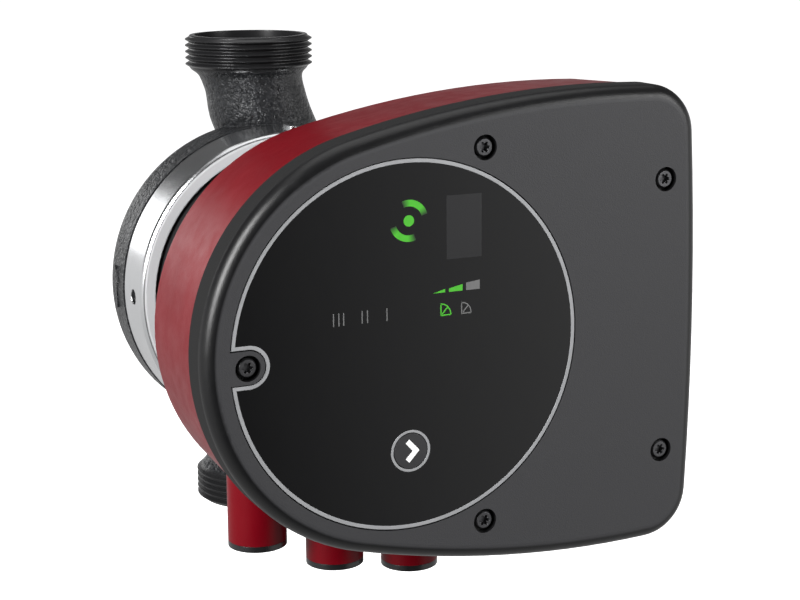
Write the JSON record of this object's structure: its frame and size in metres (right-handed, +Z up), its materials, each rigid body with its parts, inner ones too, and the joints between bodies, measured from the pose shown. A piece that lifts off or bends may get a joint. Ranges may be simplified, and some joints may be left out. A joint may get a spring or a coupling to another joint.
{
  "type": "circulator pump",
  "caption": "Wet-rotor circulator pump: black in-line housing with threaded ports, steel clamp band and a red control box with dark cover, round display window and push-button.",
  "frame": {"origin": "centre of the lower (inlet) port's sealing face", "axes": "+Z up the pipe axis to the outlet port, -Y out of the control box's front face, +X to the right seen from the front"},
  "size_m": [0.1779, 0.196, 0.18],
  "materials": {
    "black_casting": "cast iron with black electro-coat, grainy, semi-matt",
    "stainless": "drawn stainless steel",
    "seal_rubber": "EPDM",
    "polished_steel": "polished stainless steel",
    "zinc_steel": "zinc-plated steel",
    "impeller_composite": "glass-filled PES",
    "ceramic": "aluminium oxide ceramic",
    "lamination": "electrical steel laminations",
    "magnet": "sintered magnet, nickel coat",
    "carbon": "carbon graphite",
    "copper": "enamelled copper wire",
    "black_aluminium": "die-cast aluminium, black coat",
    "red_enamel": "deep red satin coat on die-cast aluminium",
    "black_plastic": "black nylon",
    "cover_plastic": "dark grey fine-textured moulding",
    "dark_screw": "blackened steel",
    "window_gloss": "near-black polycarbonate, gloss",
    "trim_metal": "satin aluminium line",
    "board_green": "glass-epoxy board, green solder mask",
    "led_lens": "clear epoxy",
    "light_white": "white diffuser moulding",
    "button_face": "dark grey moulding",
    "mark_white": "white moulding",
    "relay_case": "moulded case",
    "heat_alloy": "extruded aluminium",
    "capacitor_sleeve": "shrink sleeve",
    "choke_core": "coated ferrite",
    "chip_epoxy": "epoxy moulding",
    "terminal_plastic": "polyamide"
  },
  "bodies": {
    "housing": {"pump_housing": "black_casting", "neck_ring": "stainless", "housing_o_ring": "seal_rubber", "clamp_band": "polished_steel", "clamp_screw": "zinc_steel", "clamp_nut": "zinc_steel"},
    "pump_head": {"bearing_plate": "stainless", "inner_bearing": "ceramic", "outer_bearing": "ceramic", "rotor_can": "stainless", "stator_core": "lamination", "stator_windings": "copper", "stator_housing": "black_aluminium", "control_box_shell": "red_enamel", "cable_entry_plug_left": "black_plastic", "cable_entry_plug_middle": "black_plastic", "cable_entry_plug_right": "black_plastic", "control_box_gasket": "seal_rubber", "front_cover": "cover_plastic", "cover_screws": "dark_screw", "display_window": "window_gloss", "window_trim": "trim_metal", "button_bezel": "trim_metal", "hmi_board": "board_green", "hmi_board_screws": "zinc_steel", "hmi_board_pillars": "black_plastic", "status_leds": "led_lens", "light_guide": "light_white", "button_switch": "relay_case", "switch_dome": "stainless", "power_board": "board_green", "heat_spreader": "heat_alloy", "dc_capacitors": "capacitor_sleeve", "filter_choke": "choke_core", "mains_relay": "relay_case", "power_module": "chip_epoxy", "controller_chip": "chip_epoxy", "terminal_blocks": "terminal_plastic", "board_connector": "light_white"},
    "rotor": {"rotor_shaft": "ceramic", "rotor_core": "lamination", "rotor_magnets": "magnet", "rotor_cladding": "stainless", "thrust_ring": "carbon", "thrust_ring_holder": "seal_rubber", "impeller": "impeller_composite"},
    "button": {"push_button": "button_face", "button_chevron": "mark_white"}
  },
  "joints": [
    {"name": "rotor_spin", "type": "hinge", "parent": "pump_head", "child": "rotor", "pos_m": [0, 0, 0.09], "axis": [0, -1, 0], "continuous": true},
    {"name": "head_turn", "type": "hinge", "parent": "housing", "child": "pump_head", "pos_m": [0, 0, 0.09], "axis": [0, -1, 0], "range_deg": [-90, 90]},
    {"name": "button_press", "type": "slide", "parent": "pump_head", "child": "button", "axis": [0, 1, 0], "range_m": [0, 0.0008], "stiffness_N_per_m": 1500, "springref_m": -0.0008}
  ]
}
